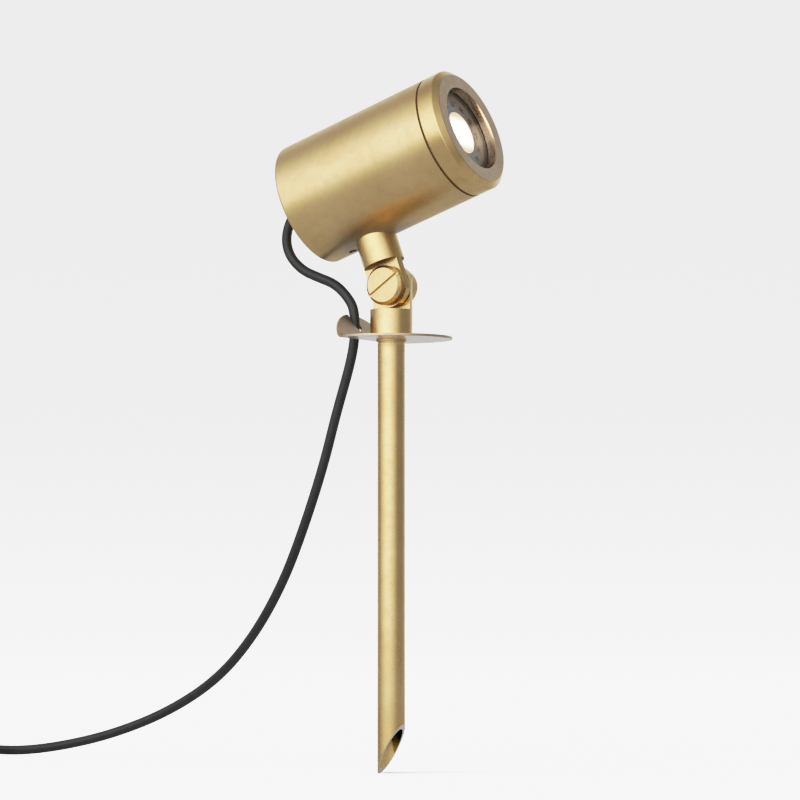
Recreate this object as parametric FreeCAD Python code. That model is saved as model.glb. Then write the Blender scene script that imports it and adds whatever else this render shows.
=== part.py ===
import FreeCAD, Part
import math
import os

V = FreeCAD.Vector

# Spike, collar and ground disc. The ground line, z = 0, is the disc's underside.
TUBE_RADIUS = 6.5
TUBE_WALL = 1.2
SPIKE_DEPTH = 204.6
TIP_CUT_HEIGHT = 23.2
TUBE_SEAT = 8.0
SPIGOT_RADIUS = 6.3
SPIGOT_RELIEF = 0.5
COLLAR_RADIUS = 7.15
COLLAR_THICKNESS = 1.1
DISC_RADIUS = 29.0
DISC_THICKNESS = 1.2
BEND_START = 12.2
BEND_RADIUS = 4.5
LIP_ANGLE = 54.0
CABLE_SLOT_WIDTH = 5.4
CABLE_SLOT_START = 16.4

# Knuckle: two round bosses with half-lap tongues, clamped by one big slotted screw.
BOSS_RADIUS = 10.0
UPPER_BOSS_RADIUS = 9.9
BOSS_HEIGHT = 13.0
PIVOT_RISE = 11.2
LOWER_TONGUE_THICKNESS = 4.7
UPPER_TONGUE_THICKNESS = 3.6
UPPER_TONGUE_END_RADIUS = 10.5
FRICTION_WASHER_THICKNESS = 0.7
FRICTION_WASHER_RADIUS = 8.5
SHANK_RADIUS = 4.0
SCREW_HEAD_RADIUS = 9.4
SCREW_HEAD_THICKNESS = 1.9
SCREW_FACE_RADIUS = 8.1
SCREW_CHAMFER_DEPTH = 1.3
SCREW_SLOT_WIDTH = 1.3
SCREW_SLOT_DEPTH = 1.2
SCREW_SLOT_ANGLE = 35.5
SCREW_WASHER_RADIUS = 8.75
SCREW_WASHER_THICKNESS = 2.6
NUT_RADIUS = 8.5
NUT_THICKNESS = 6.1
NUT_FACE_RADIUS = 7.6
NUT_CHAMFER_DEPTH = 0.8
NUT_WEB = 1.2

# Head, along its own axis: x forward, z away from the pivot, which is the origin.
HEAD_TILT = 19.8
HEAD_RISE = 53.6
HEAD_RADIUS = 30.0
HEAD_WALL = 2.4
REAR_POSITION = -27.8
REAR_WALL = 4.0
REAR_EDGE_RADIUS = 1.2
BODY_FRONT = 54.0
WEEP_HOLE_POSITION = -13.7
WEEP_HOLE_RADIUS = 2.1
NECK_RADIUS = 28.0
NECK_BORE = 26.2
NECK_SPIGOT = 8.6
NECK_LENGTH = 5.4
LEDGE_RADIUS = 23.5
LEDGE_THICKNESS = 2.5
LEDGE_SETBACK = 1.1
BEZEL_GAP = 0.9
BEZEL_BAND = 7.9
BEZEL_CHAMFER = 2.6
BEZEL_FACE_RADIUS = 27.1
BEZEL_LIP = 4.8
OPENING_RADIUS = 20.5
O_RING_RADIUS = 29.1
GLASS_RADIUS = 26.1
GLASS_THICKNESS = 2.0
GASKET_RADIUS = 27.6
GASKET_BORE = 26.3

# Lamp and its holder.
LAMP_RIM_RADIUS = 25.0
LAMP_RECESS = 2.25
LAMP_PLATE_THICKNESS = 1.4
LAMP_RAISED_RADIUS = 18.6
LAMP_RAISE = 1.2
LAMP_BASE_RADIUS = 5.5
LAMP_SHOULDER_RADIUS = 9.0
LAMP_SHOULDER_LENGTH = 4.4
LAMP_SHELL_CLEARANCE = 0.5
LAMP_SHELL_TAPER = 0.5
LAMP_LENGTH = 38.6
LAMP_LENS_RADIUS = 10.4
LAMP_LENS_RISE = 0.15
LAMP_LENS_DEPTH = 3.4
VENT_COUNT = 12
VENT_RING_RADIUS = 14.4
VENT_LENGTH = 3.2
VENT_WIDTH = 2.4
CLIP_WIRE_RADIUS = 0.7
PIN_RADIUS = 0.75
PIN_LENGTH = 7.0
PIN_SPACING = 5.3
PIN_SOCKET_SPARE = 1.0
HOLDER_LENGTH = 12.0
HOLDER_WIDTH = 24.0
HOLDER_HEIGHT = 12.0
HOLDER_SCREW_OFFSET = 8.6
HOLDER_GAP = 0.3
BRACKET_THICKNESS = 1.0
BRACKET_HALF_SPAN = 16.0
BRACKET_FOOT = 8.0
BRACKET_WIDTH = 12.0
FOOT_SCREW_DEPTH = 2.8
FOOT_HOLE_DEPTH = 3.0
BLOCK_LENGTH = 10.0
BLOCK_WIDTH = 16.0
BLOCK_HEIGHT = 10.0
CORE_RADIUS = 0.9
CORE_LEAD = 3.8
LEAD_CREST = 3.6
LEAD_BOW = 0.9
M3_RADIUS = 1.5
SCREW_HEAD_RATIO = 1.5
SMALL_HEAD_HEIGHT = 1.8
BOSS_SCREW_RADIUS = 2.5
BOSS_SCREW_DEPTH = 8.0
BOSS_THREAD_SPARE = 1.0
SADDLE_RADIUS = 6.0
SADDLE_THICKNESS = 1.7

# Rear gland and cable.
CABLE_RADIUS = 2.35
EXIT_RUN = 5.1
GLAND_THREAD_RADIUS = 4.95
GLAND_WALL = 1.3
GLAND_NUT_RADIUS = 6.8
GLAND_NUT_HEIGHT = 3.5
GLAND_NUT_WEB = 1.1
GLAND_NUT_TAPER = 1.6
GLAND_INNER_LENGTH = 8.0
LOCK_NUT_FLATS = 14.0
LOCK_NUT_THICKNESS = 3.0
ENTRY_TAIL = 2.5

# Put-away coil on the ground, its tie and the stripped end.
COIL_CENTRE_X = -288.0
COIL_CENTRE_Y = -1.1
COIL_OUTER_RADIUS = 40.1
COIL_STEP = 6.3
COIL_LAYER = 5.4
COIL_BOTTOM_HALF_TURNS = 8
COIL_TOP_HALF_TURNS = 7
COIL_RUN_IN = 16.0
COIL_RUN_OUT = 8.5
TIE_THICKNESS = 0.8
TIE_WIDTH = 4.5
TIE_CLEARANCE = 0.3
CORE_TAIL = 26.0
CORE_SPREAD = 2.4
CORE_STRAIGHT = 6.0
FERRULE_LENGTH = 9.0
FERRULE_RADIUS = 0.65

# Clearances.
TURNING_CLEARANCE = 0.05
FACE_CLEARANCE = 0.02
FIT_CLEARANCE = 0.02
OVERCUT = 1.0

GROUND_Z = -SPIKE_DEPTH
SHOULDER_Z = DISC_THICKNESS + BOSS_HEIGHT
PIVOT_Z = SHOULDER_Z + PIVOT_RISE
TONGUE_NEAR = FRICTION_WASHER_THICKNESS / 2
LOWER_FLAT = TONGUE_NEAR + LOWER_TONGUE_THICKNESS
UPPER_FLAT = TONGUE_NEAR + UPPER_TONGUE_THICKNESS
HEAD_PLACE = FreeCAD.Placement(V(0, 0, PIVOT_Z), FreeCAD.Rotation(V(0, 1, 0), -HEAD_TILT))
BODY_BORE = HEAD_RADIUS - HEAD_WALL
REAR_INNER = REAR_POSITION + REAR_WALL
SADDLE_TOP = HEAD_RISE - BODY_BORE + SADDLE_THICKNESS
NECK_FRONT = BODY_FRONT + NECK_LENGTH
BEZEL_REAR = BODY_FRONT + BEZEL_GAP
BEZEL_EDGE = BEZEL_REAR + BEZEL_BAND
BEZEL_FRONT = BEZEL_EDGE + BEZEL_CHAMFER
GLASS_FRONT = BEZEL_FRONT - BEZEL_LIP
GLASS_REAR = GLASS_FRONT - GLASS_THICKNESS
LEDGE_FRONT = BODY_FRONT - LEDGE_SETBACK
LAMP_RIM_FACE = NECK_FRONT - LAMP_RECESS
LAMP_PLATE_REAR = LAMP_RIM_FACE - LAMP_PLATE_THICKNESS
LAMP_FACE = LAMP_RIM_FACE + LAMP_RAISE
LAMP_BASE = LAMP_RIM_FACE - LAMP_LENGTH
HOLDER_FRONT = LAMP_BASE - HOLDER_GAP
HOLDER_REAR = HOLDER_FRONT - HOLDER_LENGTH
BRACKET_REAR = HOLDER_REAR - BRACKET_THICKNESS
BLOCK_REAR = BRACKET_REAR - BLOCK_LENGTH
GLAND_OUTER = REAR_POSITION - GLAND_NUT_HEIGHT
GLAND_INNER = REAR_POSITION + GLAND_INNER_LENGTH

# The cable's route, from the gland down to the disc's slot, then to the ground and the coil.
CABLE_SPLIT = (-19.95, 0.0, 7.65)
UPPER_ROUTE = [
    (-56.2, 0.0, 59.0), (-58.6, 0.0, 50.4), (-56.2, 0.0, 42.0),
    (-49.0, 0.0, 35.0), (-40.2, 0.0, 31.3), (-31.0, 0.0, 27.8), (-24.2, 0.0, 21.6),
    (-20.0, 0.0, 14.8), CABLE_SPLIT,
]
LOWER_ROUTE = [
    CABLE_SPLIT, (-19.9, 0.0, 0.5), (-23.1, 0.1, -13.0), (-30.4, 0.6, -33.9),
    (-38.3, 1.9, -59.0), (-51.0, 5.0, -88.3), (-66.2, 10.6, -115.2), (-89.0, 20.2, -141.5),
    (-117.8, 32.2, -163.4), (-151.3, 38.9, -180.2), (-185.0, 39.2, -192.0),
    (-217.0, 38.9, -198.9), (-244.0, 38.8, -202.0),
]
TAIL_ROUTE = [(-311.5, 37.4, -197.3), (-324.0, 40.0, -201.8), (-336.0, 42.6, -202.0)]


def cylinder(radius, start, end, axis=V(1, 0, 0), base=V(0, 0, 0)):
    return Part.makeCylinder(radius, end - start, base + axis * start, axis)


def ring(outer, inner, start, end, axis=V(1, 0, 0), base=V(0, 0, 0)):
    return cylinder(outer, start, end, axis, base).cut(cylinder(inner, start, end, axis, base))


def box(x0, x1, y0, y1, z0, z1):
    return Part.makeBox(x1 - x0, y1 - y0, z1 - z0, V(x0, y0, z0))


def turned(profile):
    """A solid turned about the x axis from (x, radius) corners."""
    corners = [V(x, 0, radius) for x, radius in profile]
    face = Part.Face(Part.makePolygon(corners + corners[:1]))
    return face.revolve(V(0, 0, 0), V(1, 0, 0), 360)


def on_axis(shape):
    """Lifts a shape made about the head's axis to its place above the pivot."""
    return shape.translated(V(0, 0, HEAD_RISE))


def in_head(shape):
    """Places a shape made in the head's own frame."""
    return shape.transformed(HEAD_PLACE.toMatrix(), True)


def head_point(x, z):
    return HEAD_PLACE.multVec(V(x, 0, HEAD_RISE + z))


def rounded_route(points, note):
    """Straight runs joined by tangent arcs, each as large as its two runs allow."""
    points = [V(*point) for point in points]
    edges = []
    radii = []
    last = points[0]
    for before, corner, after in zip(points, points[1:], points[2:]):
        toward = (before - corner).normalize()
        away = (after - corner).normalize()
        half_turn = (math.pi - toward.getAngle(away)) / 2
        reach = 0.45 * min((corner - before).Length, (after - corner).Length)
        radii.append(reach / math.tan(half_turn))
        start = corner + toward * reach
        end = corner + away * reach
        bisector = (toward + away).normalize()
        distance = radii[-1] / math.cos(half_turn)
        middle = corner + bisector * (distance - radii[-1])
        edges.append(Part.LineSegment(last, start).toShape())
        edges.append(Part.Arc(start, middle, end).toShape())
        last = end
    edges.append(Part.LineSegment(last, points[-1]).toShape())
    print(note, "radii", [round(radius, 1) for radius in radii])
    return Part.Wire(edges)


def tube(wire, radius, note):
    first = wire.Edges[0]
    start = first.valueAt(first.FirstParameter)
    profile = Part.Wire([Part.makeCircle(radius, start, first.tangentAt(first.FirstParameter))])
    solid = wire.makePipeShell([profile], True, False)
    expected = math.pi * radius ** 2 * wire.Length
    print(note, "length", round(wire.Length, 1), "volume ratio", round(solid.Volume / expected, 4))
    return solid


def spike_tube():
    bore = TUBE_RADIUS - TUBE_WALL
    shoulder = -COLLAR_THICKNESS - SPIGOT_RELIEF
    tube_top = DISC_THICKNESS + TUBE_SEAT
    solid = ring(TUBE_RADIUS, bore, GROUND_Z, shoulder, V(0, 0, 1))
    solid = solid.fuse(ring(SPIGOT_RADIUS, bore, shoulder, tube_top, V(0, 0, 1)))
    slope = TIP_CUT_HEIGHT / (2 * TUBE_RADIUS)
    reach = 2 * TUBE_RADIUS
    corners = [
        V(-reach, -reach, GROUND_Z - slope * (reach - TUBE_RADIUS)),
        V(reach, -reach, GROUND_Z + slope * (reach + TUBE_RADIUS)),
        V(reach, -reach, GROUND_Z - slope * reach),
    ]
    wedge = Part.Face(Part.makePolygon(corners + corners[:1])).extrude(V(0, 2 * reach, 0))
    return solid.cut(wedge)


def spike_collar():
    return ring(COLLAR_RADIUS, SPIGOT_RADIUS + FIT_CLEARANCE, -COLLAR_THICKNESS, DISC_THICKNESS, V(0, 0, 1))


def flange_disc():
    """A round sheet disc whose rear segment is bent up; its outline is round along the sheet."""
    angle = math.radians(LIP_ANGLE)
    bend_length = BEND_RADIUS * angle
    lip_start = BEND_START + bend_length
    wide = 2 * DISC_RADIUS
    centre = V(-BEND_START, 0, BEND_RADIUS)
    inner = BEND_RADIUS - DISC_THICKNESS
    outer_end = centre + V(-math.sin(angle), 0, -math.cos(angle)) * BEND_RADIUS
    inner_end = centre + V(-math.sin(angle), 0, -math.cos(angle)) * inner

    flat = cylinder(DISC_RADIUS, 0, DISC_THICKNESS, V(0, 0, 1))
    flat = flat.common(box(-BEND_START, wide, -wide, wide, 0, DISC_THICKNESS))

    sector = Part.makeCylinder(BEND_RADIUS, wide, centre - V(0, DISC_RADIUS, 0), V(0, 1, 0))
    sector = sector.cut(Part.makeCylinder(inner, wide, centre - V(0, DISC_RADIUS, 0), V(0, 1, 0)))
    near = math.sqrt(DISC_RADIUS ** 2 - BEND_START ** 2)
    far = math.sqrt(DISC_RADIUS ** 2 - lip_start ** 2)
    outline = Part.makePolygon([
        V(-BEND_START, -near, 0), V(-BEND_START, near, 0), V(outer_end.x, far, 0),
        V(outer_end.x, -far, 0), V(-BEND_START, -near, 0),
    ])
    wedge = Part.makePolygon([centre, V(-BEND_START, 0, 0), V(outer_end.x, 0, 0), outer_end, centre])
    wedge = Part.Face(wedge).extrude(V(0, wide, 0)).translated(V(0, -DISC_RADIUS, 0))
    bend = sector.common(wedge).common(Part.Face(outline).extrude(V(0, 0, BEND_RADIUS)))

    along = V(-math.cos(angle), 0, math.sin(angle)) * (DISC_RADIUS - lip_start)
    side = Part.makePolygon([outer_end, outer_end + along, inner_end + along, inner_end, outer_end])
    lip = Part.Face(side).extrude(V(0, wide, 0)).translated(V(0, -DISC_RADIUS, 0))
    outline_centre = outer_end + V(math.cos(angle), 0, -math.sin(angle)) * lip_start
    normal = V(math.sin(angle), 0, math.cos(angle))
    lip = lip.common(Part.makeCylinder(DISC_RADIUS, 2 * inner, outline_centre - normal * inner / 2, normal))

    sheet = flat.fuse([bend, lip])
    slot_end = -CABLE_SLOT_START - CABLE_SLOT_WIDTH / 2
    half = CABLE_SLOT_WIDTH / 2
    slot = box(-wide, slot_end, -half, half, -DISC_THICKNESS, wide)
    slot = slot.fuse(cylinder(half, -DISC_THICKNESS, wide, V(0, 0, 1), V(slot_end, 0, 0)))
    hole = cylinder(COLLAR_RADIUS + FIT_CLEARANCE, -DISC_THICKNESS, wide, V(0, 0, 1))
    return sheet.cut(slot).cut(hole).removeSplitter()


def tongue(bar_radius, end_radius, near, far, direction):
    """Half of a round bar between two flats, with its end rounded about the pivot."""
    length = PIVOT_RISE + end_radius
    wide = 2 * bar_radius
    bar = cylinder(bar_radius, -PIVOT_RISE, end_radius, V(0, 0, direction))
    slab = box(-wide, wide, near, far, -length, length)
    end = Part.makeCylinder(end_radius, far - near, V(0, near, 0), V(0, 1, 0))
    root = sorted((0, -direction * length))
    straight = box(-wide, wide, near, far, *root)
    return bar.common(slab).common(end.fuse(straight))


def lower_knuckle():
    boss = cylinder(BOSS_RADIUS, DISC_THICKNESS, SHOULDER_Z, V(0, 0, 1))
    leaf = tongue(BOSS_RADIUS, BOSS_RADIUS, TONGUE_NEAR, LOWER_FLAT, 1).translated(V(0, 0, PIVOT_Z))
    seat = cylinder(SPIGOT_RADIUS + FIT_CLEARANCE, 0, DISC_THICKNESS + TUBE_SEAT, V(0, 0, 1))
    return boss.fuse(leaf).cut(seat).cut(pivot_bore()).removeSplitter()


def pivot_bore():
    return cylinder(SHANK_RADIUS + TURNING_CLEARANCE, -UPPER_FLAT - OVERCUT, LOWER_FLAT + OVERCUT,
                    V(0, 1, 0), V(0, 0, PIVOT_Z))


def upper_knuckle():
    leaf = tongue(UPPER_BOSS_RADIUS, UPPER_TONGUE_END_RADIUS, -UPPER_FLAT, -TONGUE_NEAR - FACE_CLEARANCE, -1)
    boss = cylinder(UPPER_BOSS_RADIUS, PIVOT_RISE, HEAD_RISE, V(0, 0, 1))
    housing = on_axis(cylinder(HEAD_RADIUS + FIT_CLEARANCE, -BODY_FRONT, BODY_FRONT))
    thread_end = boss_top() - BOSS_SCREW_DEPTH - BOSS_THREAD_SPARE
    thread = cylinder(BOSS_SCREW_RADIUS + FIT_CLEARANCE, thread_end, HEAD_RISE, V(0, 0, 1))
    solid = in_head(boss.cut(housing).fuse(leaf).cut(thread))
    return solid.cut(pivot_bore()).removeSplitter()


def boss_top():
    return HEAD_RISE - HEAD_RADIUS


def friction_washer():
    return ring(FRICTION_WASHER_RADIUS, SHANK_RADIUS + TURNING_CLEARANCE,
                -TONGUE_NEAR, TONGUE_NEAR, V(0, 1, 0), V(0, 0, PIVOT_Z))


def round_head(radius, thickness, face_radius, chamfer_depth):
    """A flat round head about the x axis: its face at x = 0, its seat at x = thickness."""
    return turned([(0, 0), (0, face_radius), (chamfer_depth, radius), (thickness, radius), (thickness, 0)])


def screw_face():
    return -UPPER_FLAT - FACE_CLEARANCE - SCREW_WASHER_THICKNESS - SCREW_HEAD_THICKNESS


def across_pivot(shape, y, forward=1):
    """Turns a shape made along x to lie along y through the pivot."""
    turn = FreeCAD.Placement(V(0, y, PIVOT_Z), FreeCAD.Rotation(V(0, 0, 1), 90 * forward))
    return shape.transformed(turn.toMatrix(), True)


def pivot_screw():
    head = round_head(SCREW_HEAD_RADIUS, SCREW_HEAD_THICKNESS, SCREW_FACE_RADIUS, SCREW_CHAMFER_DEPTH)
    shank_end = LOWER_FLAT + NUT_THICKNESS - NUT_WEB - screw_face()
    shank = cylinder(SHANK_RADIUS, SCREW_HEAD_THICKNESS / 2, shank_end)
    cut = box(-OVERCUT, SCREW_SLOT_DEPTH, -2 * SCREW_HEAD_RADIUS, 2 * SCREW_HEAD_RADIUS,
              -SCREW_SLOT_WIDTH / 2, SCREW_SLOT_WIDTH / 2)
    cut.rotate(V(0, 0, 0), V(1, 0, 0), -SCREW_SLOT_ANGLE)
    return across_pivot(head.fuse(shank).cut(cut), screw_face())


def screw_washer():
    start = -UPPER_FLAT - SCREW_WASHER_THICKNESS - FACE_CLEARANCE
    return ring(SCREW_WASHER_RADIUS, SHANK_RADIUS + TURNING_CLEARANCE,
                start, start + SCREW_WASHER_THICKNESS, V(0, 1, 0), V(0, 0, PIVOT_Z))


def pivot_nut():
    nut = round_head(NUT_RADIUS, NUT_THICKNESS, NUT_FACE_RADIUS, NUT_CHAMFER_DEPTH)
    thread = cylinder(SHANK_RADIUS + FIT_CLEARANCE, NUT_WEB, NUT_THICKNESS)
    return across_pivot(nut.cut(thread), LOWER_FLAT + NUT_THICKNESS, -1)


def boss_hole():
    return cylinder(BOSS_SCREW_RADIUS + TURNING_CLEARANCE, boss_top() - OVERCUT, HEAD_RISE, V(0, 0, 1))


def head_body():
    shell = cylinder(HEAD_RADIUS, REAR_POSITION, BODY_FRONT)
    rear_edges = [edge for edge in shell.Edges
                  if abs(edge.BoundBox.XMin - REAR_POSITION) < 1e-6 and edge.BoundBox.XLength < 1e-6]
    shell = shell.makeFillet(REAR_EDGE_RADIUS, rear_edges)
    shell = shell.cut(cylinder(BODY_BORE, REAR_INNER, BODY_FRONT))
    shell = shell.cut(cylinder(GLAND_THREAD_RADIUS + FIT_CLEARANCE, REAR_POSITION, REAR_INNER))
    for side in (-1, 1):
        shell = shell.cut(cylinder(M3_RADIUS + FIT_CLEARANCE, REAR_INNER - FOOT_HOLE_DEPTH, REAR_INNER,
                                   base=V(0, side * foot_screw_offset(), 0)))
    shell = on_axis(shell).cut(boss_hole())
    weep = cylinder(WEEP_HOLE_RADIUS, 0, HEAD_RISE, V(0, 0, 1), V(WEEP_HOLE_POSITION, 0, 0))
    return in_head(shell.cut(weep))


def threaded_neck():
    return in_head(on_axis(turned([
        (BODY_FRONT - NECK_SPIGOT, BODY_BORE - FIT_CLEARANCE), (BODY_FRONT, BODY_BORE - FIT_CLEARANCE),
        (BODY_FRONT, NECK_RADIUS), (NECK_FRONT, NECK_RADIUS), (NECK_FRONT, NECK_BORE),
        (LEDGE_FRONT, NECK_BORE), (LEDGE_FRONT, LEDGE_RADIUS),
        (LEDGE_FRONT - LEDGE_THICKNESS, LEDGE_RADIUS), (LEDGE_FRONT - LEDGE_THICKNESS, NECK_BORE),
        (BODY_FRONT - NECK_SPIGOT, NECK_BORE),
    ])))


def bezel_ring():
    thread = NECK_RADIUS + TURNING_CLEARANCE
    return in_head(on_axis(turned([
        (BEZEL_REAR, HEAD_RADIUS), (BEZEL_EDGE, HEAD_RADIUS), (BEZEL_FRONT, BEZEL_FACE_RADIUS),
        (BEZEL_FRONT, OPENING_RADIUS), (GLASS_FRONT, OPENING_RADIUS), (GLASS_FRONT, thread),
        (BEZEL_REAR, thread),
    ])))


def bezel_o_ring():
    return in_head(on_axis(ring(O_RING_RADIUS, NECK_RADIUS, BODY_FRONT, BEZEL_REAR - TURNING_CLEARANCE)))


def lens_glass():
    return in_head(on_axis(cylinder(GLASS_RADIUS, GLASS_REAR, GLASS_FRONT - FACE_CLEARANCE)))


def lens_gasket():
    return in_head(on_axis(ring(GASKET_RADIUS, GASKET_BORE,
                                NECK_FRONT + FACE_CLEARANCE, GLASS_FRONT - FACE_CLEARANCE)))


def lamp_clip_ring():
    wire_centre = NECK_BORE - FIT_CLEARANCE - CLIP_WIRE_RADIUS
    torus = Part.makeTorus(wire_centre, CLIP_WIRE_RADIUS, V(LAMP_RIM_FACE + CLIP_WIRE_RADIUS, 0, 0),
                           V(1, 0, 0))
    return in_head(on_axis(torus))


def lamp_housing():
    shoulder = LAMP_BASE + LAMP_SHOULDER_LENGTH
    shell = LEDGE_RADIUS - LAMP_SHELL_CLEARANCE
    solid = turned([
        (LAMP_BASE, 0), (LAMP_BASE, LAMP_BASE_RADIUS), (shoulder, LAMP_BASE_RADIUS),
        (shoulder, LAMP_SHOULDER_RADIUS), (LEDGE_FRONT - LEDGE_THICKNESS, shell - LAMP_SHELL_TAPER),
        (LEDGE_FRONT, shell), (LEDGE_FRONT, LAMP_RIM_RADIUS), (LAMP_PLATE_REAR, LAMP_RIM_RADIUS),
        (LAMP_PLATE_REAR, 0),
    ])
    well = cylinder(LAMP_LENS_RADIUS, LAMP_FACE - LAMP_LENS_DEPTH, LAMP_FACE)
    return in_head(on_axis(solid.cut(well)))


def lamp_front_plate():
    plate = turned([
        (LAMP_PLATE_REAR, LAMP_LENS_RADIUS), (LAMP_FACE, LAMP_LENS_RADIUS), (LAMP_FACE, LAMP_RAISED_RADIUS),
        (LAMP_RIM_FACE, LAMP_RAISED_RADIUS), (LAMP_RIM_FACE, LAMP_RIM_RADIUS),
        (LAMP_PLATE_REAR, LAMP_RIM_RADIUS),
    ])
    vent = box(LAMP_PLATE_REAR, LAMP_FACE, -VENT_LENGTH / 2, VENT_LENGTH / 2,
               VENT_RING_RADIUS - VENT_WIDTH / 2, VENT_RING_RADIUS + VENT_WIDTH / 2)
    for index in range(VENT_COUNT):
        turned_vent = vent.copy()
        turned_vent.rotate(V(0, 0, 0), V(1, 0, 0), 360 * index / VENT_COUNT)
        plate = plate.cut(turned_vent)
    return in_head(on_axis(plate))


def lamp_lens():
    """A shallow dome over a flat disc."""
    radius = LAMP_LENS_RADIUS - FIT_CLEARANCE
    dome_radius = (radius ** 2 + LAMP_LENS_RISE ** 2) / (2 * LAMP_LENS_RISE)
    rear = LAMP_FACE - LAMP_LENS_DEPTH
    disc = cylinder(radius, rear, LAMP_FACE + LAMP_LENS_RISE)
    dome = Part.makeSphere(dome_radius, V(LAMP_FACE + LAMP_LENS_RISE - dome_radius, 0, 0))
    return in_head(on_axis(disc.common(dome)))


def pair(make, offset):
    """Two copies of one solid, to each side of the head's axis."""
    return Part.makeCompound([make(-offset), make(offset)])


def lamp_pins():
    return in_head(on_axis(pair(
        lambda y: cylinder(PIN_RADIUS, LAMP_BASE - PIN_LENGTH, LAMP_BASE, base=V(0, y, 0)), PIN_SPACING / 2)))


def lampholder():
    block = box(HOLDER_REAR, HOLDER_FRONT, -HOLDER_WIDTH / 2, HOLDER_WIDTH / 2,
                -HOLDER_HEIGHT / 2, HOLDER_HEIGHT / 2)
    for side in (-1, 1):
        socket = cylinder(PIN_RADIUS + TURNING_CLEARANCE, LAMP_BASE - PIN_LENGTH - PIN_SOCKET_SPARE,
                          HOLDER_FRONT, base=V(0, side * PIN_SPACING / 2, 0))
        screw_hole = cylinder(M3_RADIUS + TURNING_CLEARANCE, HOLDER_REAR, HOLDER_FRONT,
                              base=V(0, side * HOLDER_SCREW_OFFSET, 0))
        block = block.cut(socket).cut(screw_hole)
    return in_head(on_axis(block))


def small_screw(head_seat, tip, y):
    """A pan-head screw along the head's axis, driven from the front."""
    head = cylinder(M3_RADIUS * SCREW_HEAD_RATIO, head_seat, head_seat + SMALL_HEAD_HEIGHT, base=V(0, y, 0))
    return head.fuse(cylinder(M3_RADIUS, tip, head_seat, base=V(0, y, 0)))


def holder_screws():
    return in_head(on_axis(pair(lambda y: small_screw(HOLDER_FRONT, BRACKET_REAR, y), HOLDER_SCREW_OFFSET)))


def foot_screw_offset():
    return BRACKET_HALF_SPAN + BRACKET_FOOT / 2


def holder_bracket():
    half_width = BRACKET_WIDTH / 2
    thickness = BRACKET_THICKNESS
    bridge = box(BRACKET_REAR, HOLDER_REAR, -BRACKET_HALF_SPAN, BRACKET_HALF_SPAN, -half_width, half_width)
    parts = []
    for side in (-1, 1):
        leg_y = sorted((side * (BRACKET_HALF_SPAN - thickness), side * BRACKET_HALF_SPAN))
        foot_y = sorted((side * (BRACKET_HALF_SPAN - thickness), side * (BRACKET_HALF_SPAN + BRACKET_FOOT)))
        parts.append(box(REAR_INNER, BRACKET_REAR, *leg_y, -half_width, half_width))
        parts.append(box(REAR_INNER, REAR_INNER + thickness, *foot_y, -half_width, half_width))
    solid = bridge.fuse(parts)
    for side in (-1, 1):
        for offset in (HOLDER_SCREW_OFFSET, foot_screw_offset()):
            solid = solid.cut(cylinder(M3_RADIUS + FIT_CLEARANCE, REAR_INNER, HOLDER_REAR,
                                       base=V(0, side * offset, 0)))
    return in_head(on_axis(solid.removeSplitter()))


def bracket_screws():
    seat = REAR_INNER + BRACKET_THICKNESS
    tip = REAR_INNER - FOOT_SCREW_DEPTH
    return in_head(on_axis(pair(lambda y: small_screw(seat, tip, y), foot_screw_offset())))


def terminal_block():
    block = box(BLOCK_REAR, BRACKET_REAR, -BLOCK_WIDTH / 2, BLOCK_WIDTH / 2,
                -BLOCK_HEIGHT / 2, BLOCK_HEIGHT / 2)
    for side in (-1, 1):
        y = side * BLOCK_WIDTH / 4
        middle = V((BLOCK_REAR + BRACKET_REAR) / 2, y, 0)
        block = block.cut(cylinder(M3_RADIUS + FIT_CLEARANCE, 0, BLOCK_HEIGHT, V(0, 0, -1), middle))
        block = block.cut(cylinder(CORE_RADIUS + TURNING_CLEARANCE, BLOCK_REAR, middle.x, base=V(0, y, 0)))
        screw_clear = cylinder(M3_RADIUS + FIT_CLEARANCE, BLOCK_REAR, BRACKET_REAR,
                               base=V(0, side * HOLDER_SCREW_OFFSET, 0))
        block = block.cut(screw_clear)
    return in_head(on_axis(block))


def terminal_screws():
    x = (BLOCK_REAR + BRACKET_REAR) / 2
    return in_head(on_axis(pair(
        lambda y: cylinder(M3_RADIUS, CORE_RADIUS, BLOCK_HEIGHT / 2, V(0, 0, -1), V(x, y, 0)),
        BLOCK_WIDTH / 4)))


def holder_leads():
    """Two short wires from the holder's top round the bracket's edge to the terminal block."""
    def lead(y):
        front_x = (HOLDER_REAR + HOLDER_FRONT) / 2
        rear_x = (BLOCK_REAR + BRACKET_REAR) / 2
        crest = HOLDER_HEIGHT / 2 + LEAD_CREST
        wire = rounded_route([
            (front_x, y, HOLDER_HEIGHT / 2), (front_x, y, crest),
            ((front_x + rear_x) / 2, y, crest + LEAD_BOW),
            (rear_x, y, crest), (rear_x, y, BLOCK_HEIGHT / 2),
        ], "holder lead")
        return tube(wire, CORE_RADIUS, "holder lead")
    return in_head(on_axis(pair(lead, BLOCK_WIDTH / 4)))


def inner_cores():
    """The cable's two cores from the end of its sheath to the terminal block."""
    def core(y):
        start = GLAND_INNER + ENTRY_TAIL
        end = (BLOCK_REAR + BRACKET_REAR) / 2 - M3_RADIUS
        near = math.copysign(CORE_RADIUS + FIT_CLEARANCE, y)
        wire = rounded_route([
            (start, near, 0), (start + CORE_LEAD, near, 0), (BLOCK_REAR - CORE_LEAD, y, 0), (end, y, 0),
        ], "inner core")
        return tube(wire, CORE_RADIUS, "inner core")
    return in_head(on_axis(pair(core, BLOCK_WIDTH / 4)))


def saddle_washer():
    bore = on_axis(cylinder(BODY_BORE, REAR_INNER, BODY_FRONT))
    body = cylinder(SADDLE_RADIUS, boss_top(), SADDLE_TOP, V(0, 0, 1))
    return in_head(body.common(bore).cut(boss_hole()))


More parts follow.
